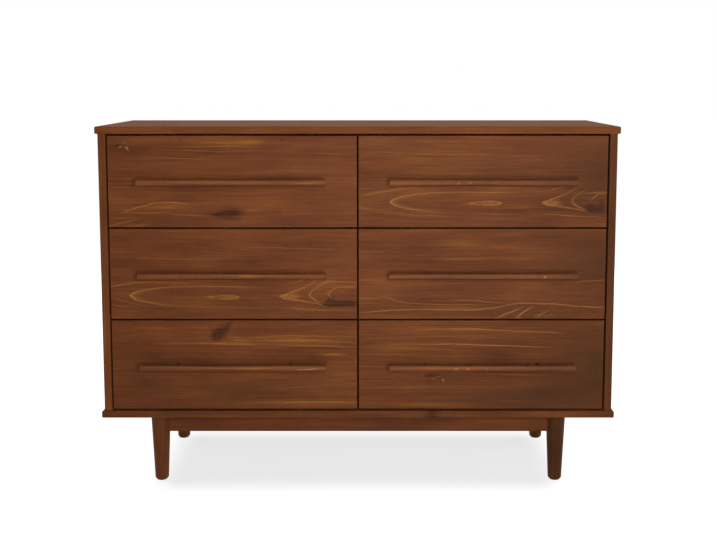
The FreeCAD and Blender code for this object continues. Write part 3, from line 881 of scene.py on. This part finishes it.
def drawerScrews(drawer, zinc):
    postLow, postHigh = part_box(drawer + "_handle_posts")
    boardLow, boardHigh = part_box(drawer + "_inner_front")
    postRadius = (postHigh.z - postLow.z) / 2
    seat = boardHigh.y
    washer = screwShape["washerHeight"] * mm
    radius = screwShape["washerWidth"] / 2 * mm
    form = bmesh.new()
    inwards = Vector((0, 1, 0))
    for x in (postLow.x + postRadius, postHigh.x - postRadius):
        place = Vector((x, seat, (postLow.z + postHigh.z) / 2))
        screwHead(form, place + inwards * washer, inwards)
        sunk = place - inwards * screwShape["washerSunk"] * mm
        turnedRod(form, sunk, place + inwards * washer, radius, radius, 0,
                  screwShape["washerEase"] * mm, screwShape["washerSegments"])
    inset = screwShape["frontInset"] * mm
    rise = screwShape["frontRise"] * mm
    for x in (boardLow.x + inset, boardHigh.x - inset):
        for z in (boardLow.z + rise, boardHigh.z - rise):
            screwHead(form, Vector((x, seat, z)), inwards)
    finishPiece(form, drawer + "_screws", zinc, drawer + "_drawer", "zinc_steel")


boxWood = {"heart": (40, -90), "lean": (0.9, 0.8), "lineStrength": 0.55}


def dressDrawer(drawer, seed, bronze):
    middle = middleOf(drawer + "_bottom_board")
    for part, lies, extra in (("_side_boards", "stile", 1), ("_inner_front", "front", 2),
                              ("_back_board", "front", 3)):
        board = dict(boxWood, lies=lies, seed=seed + extra, middle=middle)
        dress(drawer + part, woodMaterial("planed_pine_" + drawer + part, naturalPine, board))
    bottom = {"lies": "slab", "seed": seed + 4, "middle": middle, "lineStrength": 0.4}
    dress(drawer + "_bottom_board", woodMaterial("sanded_plywood_" + drawer, sandedPlywood, bottom))
    dress(drawer + "_handle_posts", bronze)


# Floor, light and camera

studio = {
    "floorSize": 60.0, "floorColour": "#bcbcbc",  # sizes and places are metres
    # what the camera sees of the floor: shadows stay, a painted shadow darkens it under the case, the
    # rest is white
    "shadowDepth": 0.36, "paintedShadowGlow": 0.67, "farGlow": 1.0, "skyLight": 0.04,
    # from and to where the painted shadow under the case fades to white
    "shadedWidth": (0.46, 0.6), "shadedDepth": (0.12, 0.34),
    # each lamp is (watts, width, height): a large soft box in front
    "key": (41.8, 1.0, 1.4), "keyPlace": (0.4, -2.35, 0.86),
    # an overhead one, most of it behind the fronts
    "overhead": (30, 3.2, 1.9), "overheadPlace": (0.2, 0.25, 3.0),
    # low strips light the back and the sides, and stay under the height of the top
    "fill": (52, 2.2, 0.7), "fillRise": 0.05, "fillAway": 3.0,
    "fillBack": 1.2,  # how far back the side strips stand
    "fillAim": (0.1, 0.2),  # how far over they aim, as a share of their own place, and how far back
}
camera = {
    "place": (0.0351, -2.7172, 1.0453), "down": 5.86, "focal": 1011.5,  # pixels of the picture's width
    "shift": (-13.6, -86.0), "width": 716, "sensor": 36.0, "clip": (0.05, 100),
}


def seenRays(add):
    # 1 for what the camera sees, straight or in a reflection
    path = add("LightPath")
    seen = add("Math", {
        0: path.outputs["Is Camera Ray"], 1: path.outputs["Is Glossy Ray"]}, operation="MAXIMUM")
    return add("Math", {0: seen, 1: path.outputs["Is Transmission Ray"]}, operation="MAXIMUM")


def paleFloor():
    material, add = newMaterial("pale_floor_paint")
    plain = add("BsdfDiffuse", {"Color": hexColour(studio["floorColour"])})
    depth = studio["shadowDepth"]
    shadow = add("BsdfDiffuse", {"Color": (depth, depth, depth, 1.0)})
    place = add("TexCoord").outputs["Object"]
    apart = add("VectorMath", {0: place}, operation="ABSOLUTE")
    sides = add("SeparateXYZ", {"Vector": apart})
    # painted shadow: the glow that the camera sees is lower under the case
    under = 1.0
    for side, (inner, outer) in (("X", studio["shadedWidth"]), ("Y", studio["shadedDepth"])):
        within = add("MapRange", {
            "Value": sides.outputs[side], "From Min": outer, "From Max": inner},
            interpolation_type="SMOOTHSTEP")
        under = add("Math", {0: within, 1: under}, operation="MULTIPLY")
    brightness = add("MapRange", {
        "Value": under, "To Min": studio["farGlow"], "To Max": studio["paintedShadowGlow"]})
    glow = add("Emission", {"Strength": brightness})
    seen = add("AddShader", {0: shadow, 1: glow})
    mixed = add("MixShader", {0: seenRays(add), 1: plain, 2: seen})
    add("OutputMaterial", {"Surface": mixed})
    form = bmesh.new()
    bmesh.ops.create_grid(form, x_segments=1, y_segments=1, size=studio["floorSize"] / 2)
    floor = meshObject(form, "floor", material)


def skyLight():
    world = bpy.data.worlds.new("studio")
    bpy.context.scene.world = world
    world.use_nodes = True
    world.node_tree.nodes.clear()
    add = partial(addNode, world.node_tree)
    white = (1.0, 1.0, 1.0, 1.0)
    soft = add("Background", {"Color": white, "Strength": studio["skyLight"]})
    seen = add("Background", {"Color": white, "Strength": 1.0})
    mixed = add("MixShader", {0: seenRays(add), 1: soft, 2: seen})
    add("OutputWorld", {"Surface": mixed})


def addLamp(name, place, target, output):
    light = bpy.data.lights.new(name, "AREA")
    light.shape = "RECTANGLE"
    light.energy, light.size, light.size_y = output
    lamp = newObject(name, light)
    lamp.location = place
    lamp.rotation_euler = (Vector(target) - Vector(place)).to_track_quat("-Z", "Y").to_euler()


def studioLights():
    x, y, z = studio["keyPlace"]
    addLamp("key", (x, y, z), (0, 0, z), studio["key"])
    x, y, z = studio["overheadPlace"]
    addLamp("overhead", (x, y, z), (x, y, 0), studio["overhead"])
    middle = studio["fill"][2] / 2 + studio["fillRise"]
    away = studio["fillAway"]
    back = studio["fillBack"]
    aimShare, aimBack = studio["fillAim"]
    for name, x, y in (("rear_fill", 0, away), ("left_fill", -away, back), ("right_fill", away, back)):
        addLamp(name, (x, y, middle), (x * aimShare, aimBack, middle), studio["fill"])


def placeCamera():
    data = bpy.data.cameras.new("camera")
    data.sensor_width = camera["sensor"]
    data.lens = camera["focal"] * camera["sensor"] / camera["width"]
    data.shift_x = camera["shift"][0] / camera["width"]
    data.shift_y = camera["shift"][1] / camera["width"]
    data.clip_start, data.clip_end = camera["clip"]
    lens = newObject("camera", data)
    lens.location = camera["place"]
    lens.rotation_euler = (math.radians(90 - camera["down"]), 0, 0)
    bpy.context.scene.camera = lens


# The build

placeCamera()
skyLight()
studioLights()
paleFloor()
print("studio ready")

zinc = fineMaterial(zincPlate)
bronze = fineMaterial(bronzePaint)
dressCase(zinc)
backPanel(bronze)
for row in ("front", "rear"):
    for side in ("left", "right"):
        turnedLeg(row, side)
print("case and legs dressed")

seed = 100  # the boards of the drawer boxes count on from here
for row in ("top", "middle", "bottom"):
    for column in ("left", "right"):
        drawer = row + "_" + column
        drawerFront(drawer)
        handleBar(drawer)
        dressDrawer(drawer, seed, bronze)
        drawerScrews(drawer, zinc)
        seed += 10
print("drawers dressed")

bpy.context.scene.view_settings.view_transform = "Standard"
